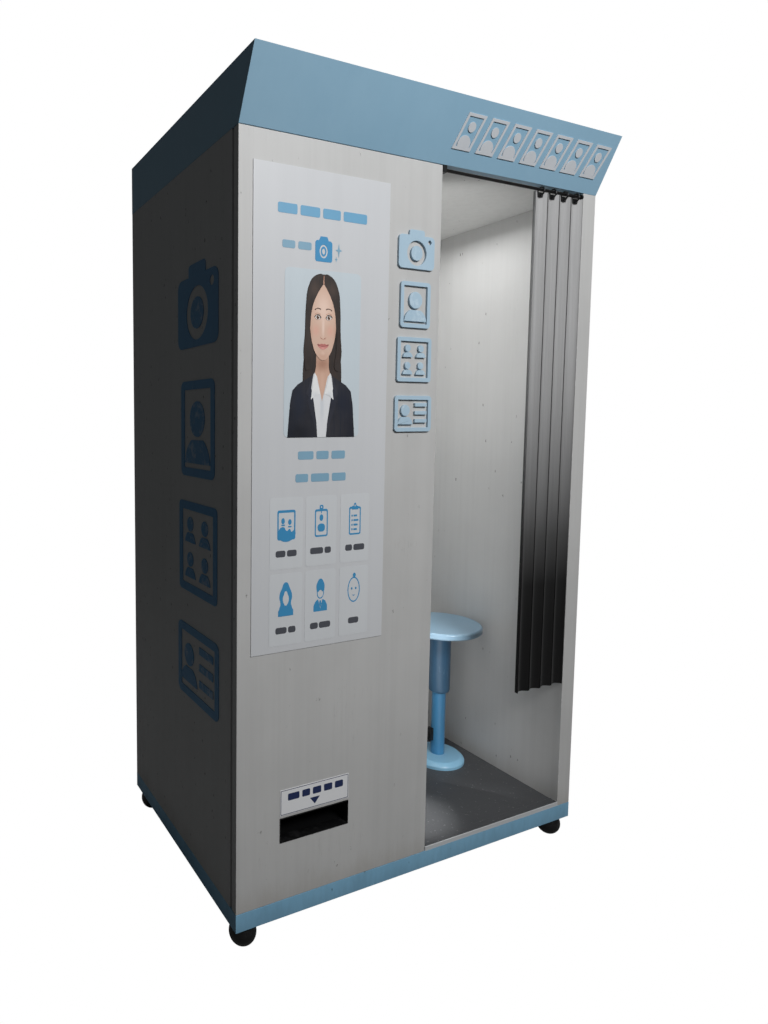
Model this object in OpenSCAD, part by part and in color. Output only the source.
// Walk-in photo booth: a cabinet on levelling feet, with a machine space behind
// a service door on the left and a cabin with a curtain and a screw stool on the right.
// Frame: X to the right along the front, Y to the back, Z up, in millimetres.
// The origin is on the ground under the middle of the overall box.

/* [Cabinet] */
// Width of the cabinet over its walls
body_w = 1124; // [1080:1:1500]
// Depth of the cabinet over its walls
body_d = 708; // [690:1:1000]
// Height of the walls between base frame and header
wall_h = 1771; // [1700:1:2200]
// Thickness of the cabin side wall
side_wall_t = 50; // [30:1:60]
// Thickness of the left and back walls
shell_t = 22; // [20:1:30]
// Thickness of the wall between machine space and cabin
partition_t = 24; // [18:1:36]
// Thickness of the floor, ceiling and roof boards
board_t = 10; // [8:1:18]

/* [Base and feet] */
// Height of the base frame
base_h = 44; // [36:1:60]
// Gap between the ground and the base frame
foot_h = 60; // [50:1:90]
// Radius of a levelling foot
foot_r = 33.5; // [25:0.5:36]
// Distance from the cabinet sides to each foot's axis
foot_inset = 38; // [36:1:60]
// Radius of the flat under each levelling foot
foot_flat_r = 12.5; // [6:0.5:18]
// Radius of the foot stem
stem_r = 8; // [6:0.5:10]
// Width of the top flange of the base frame
rail_w = 76; // [72:1:110]
// Sheet thickness of the base frame
rail_t = 4; // [3:0.5:8]

/* [Header] */
// Height of the header
header_h = 135; // [100:1:200]
// How far the top of the header leans out in front
header_lean = 70; // [30:1:100]
// Thickness of the header boards
header_t = 18; // [12:1:20]
// Depth of the roof board below the header's top edge
roof_drop = 12; // [4:1:30]
// Thickness of the emblem on the header
emblem_t = 2; // [1:0.5:4]
// Height of one frame of the emblem
emblem_h = 82; // [50:1:90]

/* [Service door] */
// Width of the service door
door_w = 564; // [480:1:600]
// Thickness of the service door
door_t = 30; // [24:1:40]
// Gap around the door
door_gap = 1.5; // [1:0.5:4]
// Radius of the pivot pins
pivot_r = 6; // [4:0.5:8]
// Distance from the door's side and back to the pivot axis
pivot_in = 12; // [10:0.5:16]
// Width of the delivery slot
slot_w = 196; // [150:1:220]
// Height of the delivery slot
slot_h = 60; // [40:1:80]
// Depth of the delivery chute behind the door
chute_d = 96; // [60:1:110]
// Wall thickness of the delivery chute
chute_t = 3; // [2:0.5:4]

/* [Signs] */
// Width of the poster
poster_w = 368; // [300:1:375]
// Height of the poster
poster_h = 1091; // [800:1:1150]
// Thickness of the poster
poster_t = 2; // [1:0.5:4]
// Size of a front pictogram
front_sign = 110; // [80:1:112]
// Thickness of a front pictogram
front_sign_t = 6; // [3:0.5:10]
// Size of a side pictogram
side_sign = 240; // [160:1:260]
// Thickness of a side pictogram
side_sign_t = 2; // [1:0.5:6]

/* [Curtain] */
// Radius of the curtain rod
rod_r = 4; // [3:0.5:6]
// Middle radius of a curtain ring
ring_r = 10.5; // [9:0.5:12]
// Wire radius of a curtain ring
ring_wire = 2; // [1.5:0.25:2.5]
// Width of one fold of the gathered curtain
fold_pitch = 45.4; // [40:0.2:50]
// Depth of the folds
fold_d = 42; // [30:1:60]
// Height of the hem above the ground
hem_z = 479; // [300:1:900]

/* [Stool] */
// Radius of the seat
seat_r = 129; // [110:1:150]
// Thickness of the seat
seat_t = 21; // [15:1:40]
// Height of the seat above the floor board
seat_h = 465; // [440:1:520]
// Radius of the stool's sleeve
sleeve_r = 34; // [30:0.5:40]
// Length of the stool's sleeve
sleeve_l = 211; // [180:1:220]
// Radius of the stool's column
column_r = 22; // [20:0.5:25]
// Radius of the screw spindle
spindle_r = 13; // [10:0.5:14]
// Radius of the stool's base
stool_base_r = 85.5; // [70:0.5:110]
// Height of the stool's base
stool_base_h = 22; // [16:1:36]

/* [Cabin equipment] */
// Height of the camera axis above the ground
camera_z = 1310; // [1280:1:1400]
// Radius of the camera lens
lens_r = 30; // [20:1:40]
// Width of the camera window
window_w = 160; // [120:1:200]
// Height of the camera window
window_h = 200; // [150:1:240]
// Width of the touch screen
screen_w = 260; // [200:1:300]
// Height of the touch screen
screen_h = 165; // [120:1:180]
// Width of the payment panel
pay_w = 340; // [320:1:400]
// Height of the payment panel
pay_h = 150; // [140:1:180]
// Thickness of the payment panel
pay_t = 12; // [10:1:16]
// Radius of the start button
start_r = 22; // [16:1:28]
// Radius of the coin return button
return_r = 9; // [7:0.5:12]
// Width of the coin return cup
cup_w = 64; // [50:1:70]
// Height of the coin return cup
cup_h = 50; // [42:1:60]

/* [Machine space] */
// Radius of the paper roll
roll_r = 48; // [30:1:60]
// Width of the paper roll
roll_w = 160; // [120:1:200]
// Side of the square fan frame
fan_w = 120; // [100:1:140]
// Depth of the fan frame
fan_d = 38; // [25:1:50]

/* [Hidden] */
$fn = 64;

// Clearances
run_fit = 0.05;     // round shaft in its bore
slip_fit = 0.3;     // loose piece beside its neighbour
eps = 1;            // how far a cutting shape runs past the face it cuts

// Colours
light_blue = [0.42, 0.60, 0.72];
deep_blue = [0.24, 0.40, 0.54];
panel_grey = [0.76, 0.76, 0.75];
mid_grey = [0.55, 0.56, 0.57];
dark_grey = [0.20, 0.21, 0.22];
near_black = [0.06, 0.06, 0.07];
steel = [0.66, 0.67, 0.69];

// Main planes
left_x = -(body_w + side_sign_t) / 2 + side_sign_t;
right_x = left_x + body_w;
left_in = left_x + shell_t;
right_in = right_x - side_wall_t;
front_y = -(body_d - header_lean) / 2;
back_y = front_y + body_d;
back_in = back_y - shell_t;
base_z = foot_h;
locknut_h = 10;
stem_gap = 2;           // from the top of a foot's stem to the base frame's top flange
wall_z = base_z + base_h;
floor_z = wall_z + board_t;
head_z = wall_z + wall_h;
top_z = head_z + header_h;
lean_angle = atan(header_lean / header_h);

// Door, doorway and partition
door_x1 = left_x + door_w;
door_back = front_y + door_t;
inner_front = door_back + door_gap;
pivot_x = left_x + pivot_in;
pivot_y = door_back - pivot_in;
pivot_in_frame = 20;    // length of a pivot pin in the base frame and in the header
pivot_in_door = 28;     // length of a pivot pin in the door
washer_r = 10;          // thrust washer under and over the door
cabin_x0 = door_x1 - 2;
partition_x0 = cabin_x0 - partition_t;
sill_t = 3;
sill_lip = 24;
sill_lip_t = 1.5;

// Header front face: y at height z
function header_y(z) = front_y - header_lean * (z - head_z) / header_h;

// Poster, signs and delivery slot: from the cabinet's left side, the header and the base frame
poster_x = left_x + 35;
poster_z = head_z - 69 - poster_h;
sign_x = left_x + 484;
sign_top = head_z - 159;
sign_pitch = 132;
side_sign_y = front_y + 216;
side_sign_top = head_z - 225;
side_sign_pitch = 303;
slot_x = left_x + 116;
slot_z = base_z + 189;
label_gap = 7;
label_h = 63;
label_t = 1.2;
emblem_x = left_x + 572;
emblem_v = 38;          // height of the emblem's foot along the sloping face
emblem_n = 7;           // frames in the emblem
emblem_w = 58;          // width of one frame
emblem_step = 76;       // distance between frames
emblem_slant = 0.22;    // sideways lean per unit height

// Curtain
rod_y = front_y + 6;
ring_in = ring_r - ring_wire;
ring_top_gap = 2.2;      // from a ring's top to the ceiling
rod_z = head_z - ring_top_gap - 2 * ring_wire - rod_r - slip_fit;
ring_z = rod_z + rod_r + slip_fit - ring_in;
fold_end = right_in - 0.5;
fold_slot = 2 * ring_wire + 1;
bracket_l = 12;
socket_wall = 3;        // wall of the rod's sockets round the rod
function fold_x(n) = fold_end - fold_pitch * (n - 0.5);

// Stool
stool_x = right_in - seat_r - 3;
stool_y = (front_y + back_y) / 2;
seat_z = floor_z + seat_h;              // top of the seat
seat_under = seat_z - seat_t;
sleeve_z = seat_under - sleeve_l;       // lower end of the sleeve
column_top = sleeve_z + 120;
spindle_foot = sleeve_z - 30;
stool_bolt_pcd = 120;
stool_bolt_r = 4;

// Cabin equipment, all centred on the sitter
screen_drop = 230;      // from the camera axis down to the middle of the screen
pay_drop = 205;         // from there down to the middle of the payment panel
screen_z = camera_z - screen_drop;
pay_z = screen_z - pay_drop;
bezel_rim = 22;
bezel_t = 14;
diffuser_w = 90;
diffuser_h = 350;
diffuser_t = 12;
diffuser_z = screen_z + screen_h / 2 + bezel_rim + 6 + diffuser_h / 2;
button_travel = 5;
glass_t = 6;
cup_t = 2;
cup_depth = 46;
flap_t = 2;
flap_pin_r = 2;
start_dy = 118;
return_dy = -52;
return_dz = 34;
coin_dy = -112;
coin_dz = 34;
cup_dy = -110;
cup_dz = -30;
bill_dy = 30;
bill_dz = -38;
card_dy = 20;
card_dz = 30;
cup_top = pay_z + cup_dz + cup_h / 2 - cup_t;
flap_x = cabin_x0 + pay_t - 6;
flap_axis_z = cup_top - 4;

// Lock: a hook on the partition turns down over a pin on the door
lock_y = inner_front + 55;
lock_z = wall_z + 1000;
lock_r = 9;
keeper_reach = 35;      // from the lock's axis to the keeper pin
keeper_pin_r = 4;
hook_x = partition_x0 - 8;
hook_t = 5;

// Machine space
shelf_t = 3;
shelf_flange = 22;
shelf_z = [wall_z + 396, wall_z + 846];
shelf_y0 = inner_front + 60;
shelf_y1 = back_in - 40;
machine_x = (left_in + partition_x0) / 2;
printer_w = 320;
printer_d = 380;
printer_h = 230;
printer_y = shelf_y0 + 20;
ear_t = 8;
roll_y = printer_y + 250;
roll_z = shelf_z[0] + printer_h + roll_r + 12;
roll_shaft_r = 6;
fan_x = machine_x;
fan_z = head_z - 321;
fan_bore_r = fan_w / 2 - 4;
fan_pin_r = 3;
fan_hub_r = 19;
inlet_w = 50;
inlet_h = 30;
inlet_x = left_in + 90;
inlet_z = wall_z + 120;

// ---- shared shapes ----

// A box from one corner to the opposite one
module block(lo, hi) {
    translate(lo) cube(hi - lo);
}

// A flat rectangle with round corners, centred
module round_rect(w, h, r) {
    square([w - 2 * r, h], center = true);
    square([w, h - 2 * r], center = true);
    for (sx = [-1, 1], sy = [-1, 1])
        translate([sx * (w / 2 - r), sy * (h / 2 - r)]) circle(r);
}

// The outline of a round-cornered rectangle
module round_frame(w, h, r, line) {
    difference() {
        round_rect(w, h, r);
        round_rect(w - 2 * line, h - 2 * line, max(r - line, 1));
    }
}

// Head and shoulders in a box of height h, standing on the origin
module bust(h) {
    translate([0, 0.68 * h]) circle(0.27 * h);
    intersection() {
        translate([0, -0.06 * h]) circle(0.47 * h);
        translate([-h / 2, 0]) square([h, 0.36 * h]);
    }
}

// Four pictograms, each about 100 by 100 and centred
module pictogram(n) {
    if (n == 0) {               // camera
        difference() {
            union() {
                translate([0, -6]) round_rect(100, 72, 10);
                translate([0, 32]) round_rect(42, 20, 5);
            }
            translate([0, -8]) circle(27);
            translate([36, 18]) circle(5);
        }
        translate([0, -8]) circle(16);
    }
    if (n == 1) {               // portrait in a frame
        round_frame(84, 100, 8, 9);
        translate([0, -36]) bust(68);
    }
    if (n == 2) {               // sheet of four prints
        round_frame(96, 98, 6, 9);
        for (sx = [-1, 1], sy = [-1, 1])
            translate([sx * 18.5, sy * 19 - 14]) bust(29);
    }
    if (n == 3) {               // card with a portrait and lines
        round_frame(104, 80, 8, 9);
        translate([-22, -24]) bust(46);
        for (dz = [-16, 2, 20]) translate([22, dz]) square([34, 8], center = true);
    }
}

// ---- cabinet ----

module base_frame() {
    color(light_blue) difference() {
        union() {
            difference() {
                block([left_x, front_y, base_z], [right_x, back_y, wall_z]);
                block([left_x + rail_t, front_y + rail_t, base_z - eps],
                      [right_x - rail_t, back_y - rail_t, wall_z - rail_t]);
                block([left_x + rail_w, front_y + rail_w, base_z],
                      [partition_x0 - rail_w / 2, back_y - rail_w, wall_z + eps]);
                block([partition_x0 + rail_w / 2, front_y + rail_w, base_z],
                      [right_x - rail_w, back_y - rail_w, wall_z + eps]);
            }
            at_feet() translate([-foot_inset + rail_t, -foot_inset + rail_t, base_z])
                cube([rail_w - rail_t, rail_w - rail_t, base_h - rail_t]);
        }
        at_feet() translate([0, 0, base_z - eps]) cylinder(r = stem_r + run_fit, h = base_h + 2 * eps);
        translate([pivot_x, pivot_y, wall_z - pivot_in_frame])
            cylinder(r = pivot_r + run_fit, h = pivot_in_frame + eps);
    }
}

// Puts a copy at each foot, turned so that its local -X and -Y face the corner
module at_feet() {
    for (sx = [0, 1], sy = [0, 1])
        translate([sx ? right_x - foot_inset : left_x + foot_inset,
                   sy ? back_y - foot_inset : front_y + foot_inset, 0])
            mirror([sx, 0, 0]) mirror([0, sy, 0]) children();
}

module levelling_feet() {
    neck_gap = 1;           // between the ball and the locknut
    ball_z = sqrt(pow(foot_r, 2) - pow(foot_flat_r, 2));
    ball_top = min(ball_z + foot_r, foot_h - locknut_h - neck_gap);
    color(near_black) at_feet() {
        rotate_extrude() intersection() {
            translate([0, ball_z]) circle(r = foot_r);
            square([foot_r + eps, ball_top]);
        }
        translate([0, 0, ball_top - eps])
            cylinder(r = stem_r, h = wall_z - rail_t - stem_gap - ball_top + eps);
    }
}

module foot_locknuts() {
    color(steel) at_feet() translate([0, 0, base_z - locknut_h]) difference() {
        cylinder(r = 1.7 * stem_r, h = locknut_h, $fn = 6);
        translate([0, 0, -eps]) cylinder(r = stem_r + run_fit, h = locknut_h + 2 * eps);
    }
}

module floor_panel() {
    color(dark_grey) difference() {
        translate([0, 0, wall_z]) linear_extrude(board_t) polygon([
            [left_in, inner_front], [door_x1 + 2, inner_front], [door_x1 + 2, front_y + sill_t],
            [right_in, front_y + sill_t], [right_in, back_in], [left_in, back_in]]);
        at_stool_bolts() translate([0, 0, wall_z - eps]) cylinder(r = stool_bolt_r + run_fit, h = board_t + 2 * eps);
    }
}

module sill_strip() {
    color(panel_grey) {
        difference() {
            block([door_x1 + 2, front_y, wall_z], [right_in, front_y + sill_lip, floor_z + sill_lip_t]);
            block([door_x1 + 1, front_y + sill_t, wall_z - eps], [right_in + eps, front_y + sill_lip + eps, floor_z]);
        }
    }
}

module left_wall() {
    color(panel_grey) block([left_x, inner_front, wall_z], [left_in, back_y, head_z]);
}

module right_wall() {
    color(panel_grey) block([right_in, front_y, wall_z], [right_x, back_y, head_z]);
}

module back_wall() {
    slat_n = 8;
    slat_step = 13;
    slat_h = 6;
    color(panel_grey) difference() {
        block([left_in, back_in, wall_z], [right_in, back_y, head_z]);
        for (i = [0 : slat_n - 1])
            translate([fan_x - 0.4 * fan_w, back_in - eps, fan_z + (i - (slat_n - 1) / 2) * slat_step - slat_h / 2])
                cube([0.8 * fan_w, shell_t + 2 * eps, slat_h]);
        block([inlet_x - inlet_w / 2 - slip_fit, back_in - eps, inlet_z - inlet_h / 2 - slip_fit],
              [inlet_x + inlet_w / 2 + slip_fit, back_y + eps, inlet_z + inlet_h / 2 + slip_fit]);
    }
}

module partition_wall() {
    color(panel_grey) difference() {
        block([partition_x0, inner_front, floor_z], [cabin_x0, back_in, head_z]);
        block([partition_x0 - eps, stool_y - window_w / 2, camera_z - window_h / 2],
              [cabin_x0 + eps, stool_y + window_w / 2, camera_z + window_h / 2]);
        block([partition_x0 - eps, stool_y + cup_dy - cup_w / 2 - slip_fit, pay_z + cup_dz - cup_h / 2 - slip_fit],
              [cabin_x0 + eps, stool_y + cup_dy + cup_w / 2 + slip_fit, pay_z + cup_dz + cup_h / 2 + slip_fit]);
        translate([partition_x0 - eps, lock_y, lock_z]) rotate([0, 90, 0])
            cylinder(r = lock_r + run_fit, h = partition_t + 2 * eps);
    }
}

module ceiling_panel() {
    color(panel_grey) block([left_x + header_t, front_y + header_t, head_z],
                            [right_x - header_t, back_y - header_t, head_z + board_t]);
}

// A board whose front edge follows the header's slope, between two heights
module sloped_board(inset, z0, z1, x0, x1) {
    translate([x0, 0, 0]) rotate([90, 0, 90]) linear_extrude(x1 - x0) polygon([
        [header_y(z0) + inset, z0], [header_y(z1) + inset, z1], [back_y - inset, z1], [back_y - inset, z0]]);
}

module header_fascia() {
    color(light_blue) difference() {
        sloped_board(0, head_z, top_z, left_x, right_x);
        sloped_board(header_t, head_z - eps, top_z + eps, left_x + header_t, right_x - header_t);
        translate([pivot_x, pivot_y, head_z - eps]) cylinder(r = pivot_r + run_fit, h = pivot_in_frame + eps);
    }
}

module roof_panel() {
    color(mid_grey) sloped_board(header_t, top_z - roof_drop - board_t, top_z - roof_drop,
                                 left_x + header_t, right_x - header_t);
}

// A slanted copy of a point on the header's face
function slant(p) = [p[0] + emblem_slant * p[1], p[1]];

module header_emblem() {
    line = 7;
    color(mid_grey + [0.12, 0.12, 0.13]) translate([emblem_x, front_y, head_z]) rotate([90 + lean_angle, 0, 0])
        translate([0, emblem_v, 0]) linear_extrude(emblem_t) for (i = [0 : emblem_n - 1])
            translate([i * emblem_step, 0]) {
                difference() {
                    polygon([for (p = [[0, 0], [emblem_w, 0], [emblem_w, emblem_h], [0, emblem_h]]) slant(p)]);
                    polygon([for (p = [[line, line], [emblem_w - line, line], [emblem_w - line, emblem_h - line],
                                       [line, emblem_h - line]]) slant(p)]);
                }
                translate(slant([emblem_w / 2, 0.64 * emblem_h])) circle(0.14 * emblem_h);
                translate(slant([emblem_w / 2, line + 0.08 * emblem_h])) intersection() {
                    circle(0.24 * emblem_h);
                    translate([-0.24 * emblem_h, -0.12 * emblem_h]) square([0.48 * emblem_h, 0.36 * emblem_h]);
                }
            }
}

module ceiling_light() {
    light_w = 150;
    light_d = 250;
    light_t = 14;
    rim = 12;
    x0 = cabin_x0 + 36;
    y0 = stool_y - light_d / 2;
    color(steel) difference() {
        block([x0, y0, head_z - light_t], [x0 + light_w, y0 + light_d, head_z]);
        block([x0 + rim, y0 + rim, head_z - light_t - eps], [x0 + light_w - rim, y0 + light_d - rim, head_z - 2]);
    }
    color("white") block([x0 + rim, y0 + rim, head_z - light_t + 2],
                         [x0 + light_w - rim, y0 + light_d - rim, head_z - light_t + 5]);
}

// ---- curtain ----

module curtain_rod() {
    color(dark_grey) translate([door_x1 + 3, rod_y, rod_z]) rotate([0, 90, 0])
        cylinder(r = rod_r, h = right_in - door_x1 - 3);
}

module rod_brackets() {
    color(dark_grey) difference() {
        union() {
            block([door_x1 + 2, front_y, rod_z - rod_r - socket_wall],
                  [door_x1 + 2 + bracket_l, rod_y + rod_r + socket_wall, head_z]);
            translate([right_in - 6, rod_y, rod_z]) rotate([0, 90, 0]) cylinder(r = rod_r + socket_wall, h = 6);
        }
        translate([door_x1 + 1, rod_y, rod_z]) rotate([0, 90, 0])
            cylinder(r = rod_r + run_fit, h = right_in - door_x1);
    }
}

module curtain_ring(n) {
    color(near_black) translate([fold_x(n), rod_y, ring_z]) rotate([0, 90, 0])
        rotate_extrude() translate([ring_r, 0]) circle(ring_wire, $fn = 24);
}

// One fold of the gathered cloth, cut clear of the rod in front of it and of its own ring
module curtain_fold(n) {
    half = (fold_pitch - slip_fit) / 2;
    shoulder_z = ring_z - ring_r - ring_wire - slip_fit;
    color(dark_grey) difference() {
        block([fold_x(n) - half, front_y + 0.5, hem_z], [fold_x(n) + half, front_y + fold_d, rod_z]);
        block([fold_x(n) - half - eps, front_y - eps, shoulder_z],
              [fold_x(n) + half + eps, rod_y + rod_r + socket_wall + slip_fit, rod_z + eps]);
        block([fold_x(n) - fold_slot / 2, front_y, shoulder_z],
              [fold_x(n) + fold_slot / 2, rod_y + ring_r + ring_wire + 0.5, rod_z + eps]);
    }
}

module curtain_ring_1() { curtain_ring(1); }
module curtain_ring_2() { curtain_ring(2); }
module curtain_ring_3() { curtain_ring(3); }
module curtain_ring_4() { curtain_ring(4); }
module curtain_fold_1() { curtain_fold(1); }
module curtain_fold_2() { curtain_fold(2); }
module curtain_fold_3() { curtain_fold(3); }
module curtain_fold_4() { curtain_fold(4); }

// ---- stool ----

module at_stool_bolts() {
    for (a = [45 : 90 : 315])
        translate([stool_x + stool_bolt_pcd / 2 * cos(a), stool_y + stool_bolt_pcd / 2 * sin(a), 0]) children();
}

module stool_base() {
    rim = 9;
    color(light_blue) difference() {
        translate([stool_x, stool_y, floor_z]) rotate_extrude() polygon([
            [column_r + run_fit, 0], [stool_base_r, 0], [stool_base_r, rim],
            [stool_base_r - 2, rim + 3], [stool_base_r - 10, stool_base_h - 3],
            [stool_base_r - 16, stool_base_h], [column_r + run_fit, stool_base_h]]);
        at_stool_bolts() translate([0, 0, floor_z - eps]) cylinder(r = stool_bolt_r + run_fit, h = 12 + eps);
    }
}

module stool_bolts() {
    color(steel) at_stool_bolts() {
        translate([0, 0, wall_z - 6]) cylinder(r = 8, h = 6, $fn = 6);
        translate([0, 0, wall_z - 1]) cylinder(r = stool_bolt_r, h = board_t + 12);
    }
}

module stool_column() {
    color(light_blue) translate([stool_x, stool_y, floor_z]) difference() {
        cylinder(r = column_r, h = column_top - floor_z);
        translate([0, 0, 6]) cylinder(r = spindle_r + run_fit, h = column_top - floor_z);
    }
}

module stool_sleeve() {
    color(deep_blue) translate([stool_x, stool_y, sleeve_z]) rotate_extrude() polygon([
        [column_r + run_fit, 6], [column_r + 3, 0], [sleeve_r - 8, 0], [sleeve_r - 2, 4], [sleeve_r, 10],
        [sleeve_r, sleeve_l - slip_fit], [column_r + run_fit, sleeve_l - slip_fit]]);
}

module stool_spindle() {
    color(steel) translate([stool_x, stool_y, spindle_foot])
        cylinder(r = spindle_r, h = seat_under - spindle_foot);
}

module stool_seat() {
    edge = 5;
    color(light_blue) translate([stool_x, stool_y, seat_under]) rotate_extrude() polygon([
        [0, 0], [seat_r - edge, 0], [seat_r - 1.5, 1.5], [seat_r, edge],
        [seat_r, seat_t - edge], [seat_r - 1.5, seat_t - 1.5], [seat_r - edge, seat_t], [0, seat_t]]);
}

// ---- service door ----

module service_door() {
    z0 = wall_z + door_gap;
    z1 = head_z - door_gap;
    color(panel_grey) difference() {
        translate([0, 0, z0]) linear_extrude(z1 - z0) union() {
            translate([left_x, front_y]) square([door_w, door_t - pivot_in]);
            translate([pivot_x, front_y]) square([door_w - pivot_in, door_t]);
            translate([pivot_x, pivot_y]) circle(pivot_in);
        }
        block([slot_x, front_y - eps, slot_z], [slot_x + slot_w, door_back + eps, slot_z + slot_h]);
        for (z = [z0 - eps, z1 - pivot_in_door])
            translate([pivot_x, pivot_y, z]) cylinder(r = pivot_r + run_fit, h = pivot_in_door + eps);
    }
}

module pivot_pins() {
    color(steel) for (m = [0, 1])
        translate([pivot_x, pivot_y, m ? head_z : wall_z]) mirror([0, 0, m]) {
            translate([0, 0, -pivot_in_frame]) cylinder(r = pivot_r, h = pivot_in_frame + pivot_in_door - 2);
            cylinder(r = washer_r, h = door_gap - slip_fit);
        }
}

module poster_panel() {
    color([0.80, 0.83, 0.86]) block([poster_x, front_y - poster_t, poster_z],
                                    [poster_x + poster_w, front_y, poster_z + poster_h]);
}

module front_signs() {
    color([0.55, 0.71, 0.82]) for (n = [0 : 3])
        translate([sign_x, front_y, sign_top - front_sign / 2 - n * sign_pitch]) rotate([90, 0, 0])
            linear_extrude(front_sign_t) scale(front_sign / 100) pictogram(n);
}

module side_signs() {
    color(deep_blue) for (n = [0 : 3])
        translate([left_x, side_sign_y, side_sign_top - side_sign / 2 - n * side_sign_pitch]) rotate([90, 0, -90])
            linear_extrude(side_sign_t) scale(side_sign / 100) pictogram(n);
}

module slot_label() {
    color("white") block([slot_x, front_y - label_t, slot_z + slot_h + label_gap],
                         [slot_x + slot_w, front_y, slot_z + slot_h + label_gap + label_h]);
}

// Tray behind the slot: closed below, at the back and at the ends, open above for falling prints
module delivery_chute() {
    flange = 14;
    lo = [slot_x - chute_t, door_back, slot_z - chute_t];
    hi = [slot_x + slot_w + chute_t, door_back + chute_d, slot_z + slot_h + 20];
    color(near_black) {
        difference() {
            block(lo, hi);
            block([slot_x, door_back - eps, slot_z], [slot_x + slot_w, door_back + chute_d - chute_t, hi[2] + eps]);
        }
        difference() {
            block([lo[0] - flange, door_back, lo[2] - flange], [hi[0] + flange, door_back + chute_t, hi[2]]);
            block([slot_x, door_back - eps, slot_z], [slot_x + slot_w, door_back + chute_t + eps, hi[2] + eps]);
        }
    }
}

// ---- door lock ----

module lock_cylinder() {
    color(steel) translate([hook_x, lock_y, lock_z]) rotate([0, 90, 0]) {
        cylinder(r = lock_r - 3, h = hook_t + 4);
        translate([0, 0, hook_t + 0.5]) cylinder(r = lock_r, h = cabin_x0 - hook_x - hook_t);
        translate([0, 0, cabin_x0 - hook_x]) difference() {
            cylinder(r = lock_r + 3, h = 3);
            translate([-1, -5, 1]) cube([2, 10, 3]);
        }
    }
}

// Drawn in its turned-up place: the arm runs up from the cylinder, the prong points forwards
module lock_hook() {
    arm_l = keeper_reach + 12;
    arm_y = keeper_pin_r + 0.8;
    color(steel) translate([hook_x, lock_y, lock_z]) rotate([90, 0, 90]) linear_extrude(hook_t) difference() {
        union() {
            circle(13);
            translate([arm_y, 0]) square([8, arm_l]);
            translate([-keeper_pin_r, keeper_reach + 6]) square([keeper_pin_r + arm_y + 8, 6]);
        }
        circle(lock_r - 3 + run_fit);
    }
}

module lock_keeper() {
    ear_t_x = 8;
    pin_y = lock_y - keeper_reach;
    color(steel) {
        block([hook_x - 5 - ear_t_x, door_back, lock_z - 16], [hook_x - 5, pin_y + 9, lock_z + 16]);
        translate([hook_x - 6, pin_y, lock_z]) rotate([0, 90, 0]) cylinder(r = keeper_pin_r, h = hook_t + 7);
    }
}

// ---- cabin face ----

module camera_body() {
    plate_t = 6;
    margin = 18;
    color(dark_grey) difference() {
        union() {
            block([partition_x0 - plate_t, stool_y - window_w / 2 - margin, camera_z - window_h / 2 - margin],
                  [partition_x0, stool_y + window_w / 2 + margin, camera_z + window_h / 2 + margin]);
            block([partition_x0 - 110, stool_y - 66, camera_z - 52], [partition_x0, stool_y + 66, camera_z + 52]);
        }
        translate([partition_x0 - 40, stool_y, camera_z]) rotate([0, 90, 0]) cylinder(r = lens_r + run_fit, h = 60);
    }
}

module camera_lens() {
    lens_l = 56;
    color(near_black) translate([partition_x0 - 40, stool_y, camera_z]) rotate([0, 90, 0]) difference() {
        cylinder(r = lens_r, h = lens_l);
        translate([0, 0, lens_l - 6]) cylinder(r1 = lens_r - 12, r2 = lens_r - 4, h = 6);
    }
}

module camera_window() {
    color([0.5, 0.6, 0.65, 0.5]) block(
        [cabin_x0 - glass_t, stool_y - window_w / 2 + slip_fit, camera_z - window_h / 2 + slip_fit],
        [cabin_x0, stool_y + window_w / 2 - slip_fit, camera_z + window_h / 2 - slip_fit]);
}

module light_diffusers() {
    color("white") for (s = [-1, 1])
        translate([cabin_x0, stool_y + s * (window_w + diffuser_w + 40) / 2, diffuser_z]) rotate([90, 0, 90])
            linear_extrude(diffuser_t) round_rect(diffuser_w, diffuser_h, 14);
}

module screen_bezel() {
    color(dark_grey) translate([cabin_x0, stool_y, screen_z]) rotate([90, 0, 90]) difference() {
        linear_extrude(bezel_t) round_rect(screen_w + 2 * bezel_rim, screen_h + 2 * bezel_rim, 12);
        translate([-screen_w / 2 - slip_fit, -screen_h / 2 - slip_fit, bezel_t - 8])
            cube([screen_w + 2 * slip_fit, screen_h + 2 * slip_fit, 8 + eps]);
    }
}

module touch_screen() {
    color(near_black) block([cabin_x0 + bezel_t - 8, stool_y - screen_w / 2, screen_z - screen_h / 2],
                            [cabin_x0 + bezel_t - 3, stool_y + screen_w / 2, screen_z + screen_h / 2]);
}

// Puts a shape on the payment panel's back, with local X along Y and local Z out of the panel
module on_panel(dy, dz) {
    translate([cabin_x0, stool_y + dy, pay_z + dz]) rotate([90, 0, 90]) children();
}

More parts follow.
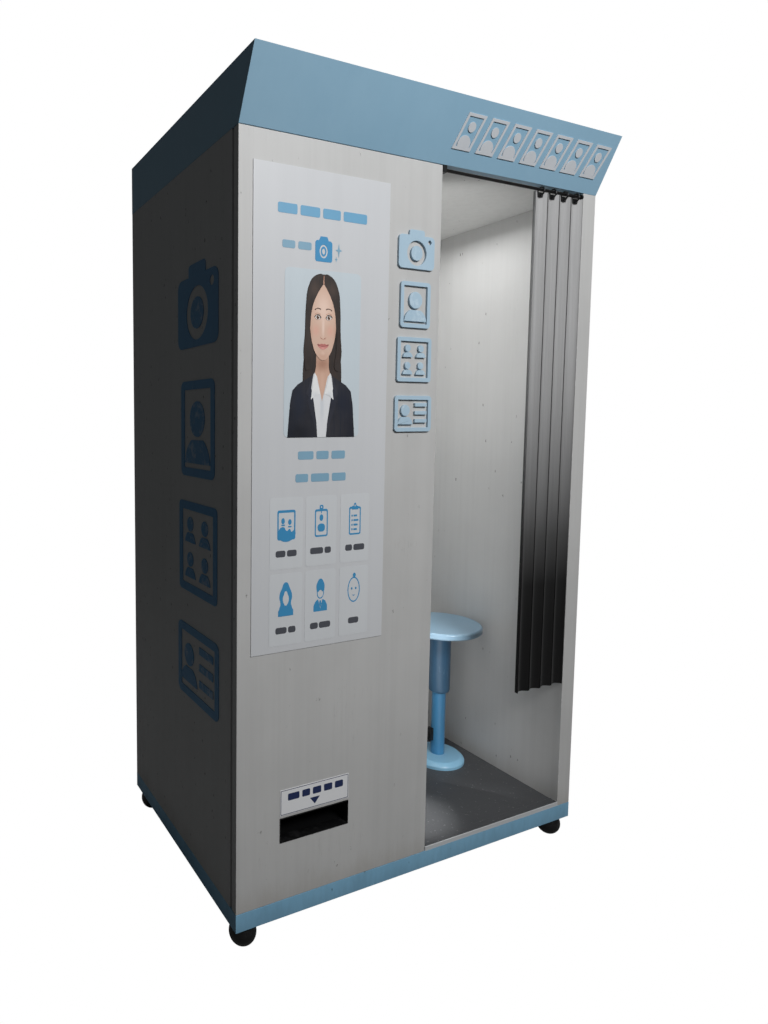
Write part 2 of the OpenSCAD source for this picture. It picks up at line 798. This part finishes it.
module payment_panel() {
    coin_w = 5;
    coin_h = 32;
    bill_w = 84;
    bill_h = 6;
    slot_deep = pay_t - 2;
    color(steel) difference() {
        union() {
            on_panel(0, 0) linear_extrude(pay_t) round_rect(pay_w, pay_h, 8);
            on_panel(card_dy, card_dz) translate([0, 0, pay_t - eps]) linear_extrude(3 + eps) round_rect(76, 54, 6);
        }
        on_panel(start_dy, 0) translate([0, 0, -eps]) cylinder(r = start_r + slip_fit, h = pay_t + 2 * eps);
        on_panel(return_dy, return_dz) translate([0, 0, -eps]) cylinder(r = return_r + slip_fit, h = pay_t + 2 * eps);
        on_panel(coin_dy, coin_dz) translate([-coin_w / 2, -coin_h / 2, pay_t - slot_deep]) cube([coin_w, coin_h, pay_t]);
        on_panel(bill_dy, bill_dz) translate([-bill_w / 2, -bill_h / 2, pay_t - slot_deep]) cube([bill_w, bill_h, pay_t]);
        on_panel(cup_dy, cup_dz) translate([-cup_w / 2 - slip_fit, -cup_h / 2 - slip_fit, -eps])
            cube([cup_w + 2 * slip_fit, cup_h + 2 * slip_fit, pay_t + 2 * eps]);
    }
}

module start_button() {
    color([0.20, 0.55, 0.35]) on_panel(start_dy, 0) translate([0, 0, button_travel + 1])
        cylinder(r = start_r, h = pay_t - 1);
}

module coin_return_button() {
    color(mid_grey) on_panel(return_dy, return_dz) translate([0, 0, button_travel + 1])
        cylinder(r = return_r, h = pay_t - 1);
}

module coin_return_cup() {
    lip = 4;
    color(dark_grey) difference() {
        union() {
            on_panel(cup_dy, cup_dz) translate([-cup_w / 2, -cup_h / 2, pay_t - cup_depth - cup_t])
                cube([cup_w, cup_h, cup_depth + cup_t + 1]);
            on_panel(cup_dy, cup_dz) translate([0, 0, pay_t]) linear_extrude(1.5)
                round_rect(cup_w + 2 * lip, cup_h + 2 * lip, 4);
        }
        on_panel(cup_dy, cup_dz) translate([-cup_w / 2 + cup_t, -cup_h / 2 + cup_t, pay_t - cup_depth])
            cube([cup_w - 2 * cup_t, cup_h - 2 * cup_t, cup_depth + 2]);
        translate([flap_x, stool_y + cup_dy - cup_w / 2 - eps, flap_axis_z]) rotate([-90, 0, 0])
            cylinder(r = flap_pin_r + run_fit, h = cup_w + 2 * eps);
    }
}

module coin_return_flap() {
    side = 1;
    color(steel) {
        translate([flap_x, stool_y + cup_dy - cup_w / 2 + 0.5, flap_axis_z]) rotate([-90, 0, 0])
            cylinder(r = flap_pin_r, h = cup_w - 1);
        block([flap_x - flap_t / 2, stool_y + cup_dy - cup_w / 2 + cup_t + side, pay_z + cup_dz - cup_h / 2 + cup_t + 2],
              [flap_x + flap_t / 2, stool_y + cup_dy + cup_w / 2 - cup_t - side, flap_axis_z]);
    }
}

// ---- machine space ----

module equipment_shelves() {
    color(steel) for (z = shelf_z) difference() {
        block([left_in, shelf_y0, z - shelf_flange], [partition_x0, shelf_y1, z]);
        block([left_in - eps, shelf_y0 + shelf_t, z - shelf_flange - eps],
              [partition_x0 + eps, shelf_y1 - shelf_t, z - shelf_t]);
    }
}

module photo_printer() {
    x0 = machine_x - printer_w / 2;
    z0 = shelf_z[0];
    color(mid_grey) difference() {
        union() {
            block([x0, printer_y, z0], [x0 + printer_w, printer_y + printer_d, z0 + printer_h]);
            for (s = [-1, 1])
                translate([machine_x + s * (roll_w / 2 + 3 + ear_t / 2) - ear_t / 2, roll_y - 16, z0 + printer_h])
                    cube([ear_t, 32, roll_z - z0 - printer_h + 16]);
        }
        block([machine_x - 90, printer_y - eps, z0 + 40], [machine_x + 90, printer_y + 60, z0 + 62]);
        translate([machine_x - roll_w, roll_y, roll_z]) rotate([0, 90, 0])
            cylinder(r = roll_shaft_r + run_fit, h = 2 * roll_w);
    }
}

module paper_roll() {
    color("white") translate([machine_x, roll_y, roll_z]) rotate([0, 90, 0]) {
        cylinder(r = roll_r, h = roll_w, center = true);
        cylinder(r = roll_shaft_r, h = roll_w + 2 * (3 + ear_t), center = true);
    }
}

module computer() {
    color(dark_grey) block([left_in + 40, shelf_y0 + 60, shelf_z[1]], [left_in + 220, shelf_y0 + 440, shelf_z[1] + 330]);
}

module power_supply() {
    color(steel) block([partition_x0 - 200, shelf_y0 + 120, shelf_z[1]],
                       [partition_x0 - 50, shelf_y0 + 340, shelf_z[1] + 90]);
}

module power_inlet() {
    flange = 8;
    color(near_black) difference() {
        union() {
            block([inlet_x - inlet_w / 2, back_in - 16, inlet_z - inlet_h / 2],
                  [inlet_x + inlet_w / 2, back_y - 1, inlet_z + inlet_h / 2]);
            block([inlet_x - inlet_w / 2 - flange, back_in - 3, inlet_z - inlet_h / 2 - flange],
                  [inlet_x + inlet_w / 2 + flange, back_in, inlet_z + inlet_h / 2 + flange]);
        }
        translate([inlet_x - inlet_w / 2 + 10, back_y - 18, inlet_z - inlet_h / 2 + 6])
            cube([inlet_w - 20, 20, inlet_h - 12]);
    }
}

module cash_box() {
    w = 180;
    d = 240;
    h = 130;
    color(deep_blue) difference() {
        block([partition_x0 - w - 30, stool_y - d / 2, floor_z], [partition_x0 - 30, stool_y + d / 2, floor_z + h]);
        translate([partition_x0 - 30 - w / 2 - 20, stool_y - 4, floor_z + h - 3]) cube([40, 8, 4]);
    }
}

module fan_frame() {
    strut = 7;
    color(near_black) translate([fan_x, back_in, fan_z]) rotate([90, 0, 0]) difference() {
        union() {
            difference() {
                linear_extrude(fan_d) round_rect(fan_w, fan_w, 6);
                translate([0, 0, -eps]) cylinder(r = fan_bore_r, h = fan_d + 2 * eps);
            }
            translate([0, 0, fan_d - 5]) cylinder(r = fan_hub_r, h = 5);
            for (a = [45 : 90 : 315]) rotate([0, 0, a])
                translate([fan_hub_r - 2, -strut / 2, fan_d - 5]) cube([fan_bore_r - fan_hub_r + 4, strut, 5]);
            translate([0, 0, 6]) cylinder(r = fan_pin_r, h = fan_d - 8);
        }
    }
}

module fan_rotor() {
    blades = 7;
    hub_l = fan_d - 5 - 3 - 6;
    color(dark_grey) translate([fan_x, back_in - 6, fan_z]) rotate([90, 0, 0]) difference() {
        union() {
            cylinder(r = fan_hub_r, h = hub_l);
            for (i = [0 : blades - 1]) rotate([0, 0, i * 360 / blades])
                translate([fan_hub_r - 3, 0, hub_l / 2]) rotate([35, 0, 0])
                    translate([0, -13, -1]) cube([fan_bore_r - fan_hub_r, 26, 2]);
        }
        translate([0, 0, -eps]) cylinder(r = fan_pin_r + run_fit, h = hub_l + 2 * eps);
    }
}

base_frame();
floor_panel();
sill_strip();
left_wall();
right_wall();
back_wall();
partition_wall();
ceiling_panel();
header_fascia();
roof_panel();
levelling_feet();
foot_locknuts();
ceiling_light();
curtain_rod();
rod_brackets();
curtain_ring_1();
curtain_ring_2();
curtain_ring_3();
curtain_ring_4();
curtain_fold_1();
curtain_fold_2();
curtain_fold_3();
curtain_fold_4();
stool_base();
stool_bolts();
stool_column();
stool_sleeve();
stool_spindle();
stool_seat();
service_door();
poster_panel();
front_signs();
side_signs();
header_emblem();
slot_label();
delivery_chute();
pivot_pins();
lock_cylinder();
lock_hook();
lock_keeper();
camera_body();
camera_lens();
camera_window();
light_diffusers();
touch_screen();
screen_bezel();
payment_panel();
coin_return_cup();
coin_return_flap();
coin_return_button();
start_button();
equipment_shelves();
photo_printer();
paper_roll();
computer();
power_supply();
power_inlet();
cash_box();
fan_frame();
fan_rotor();
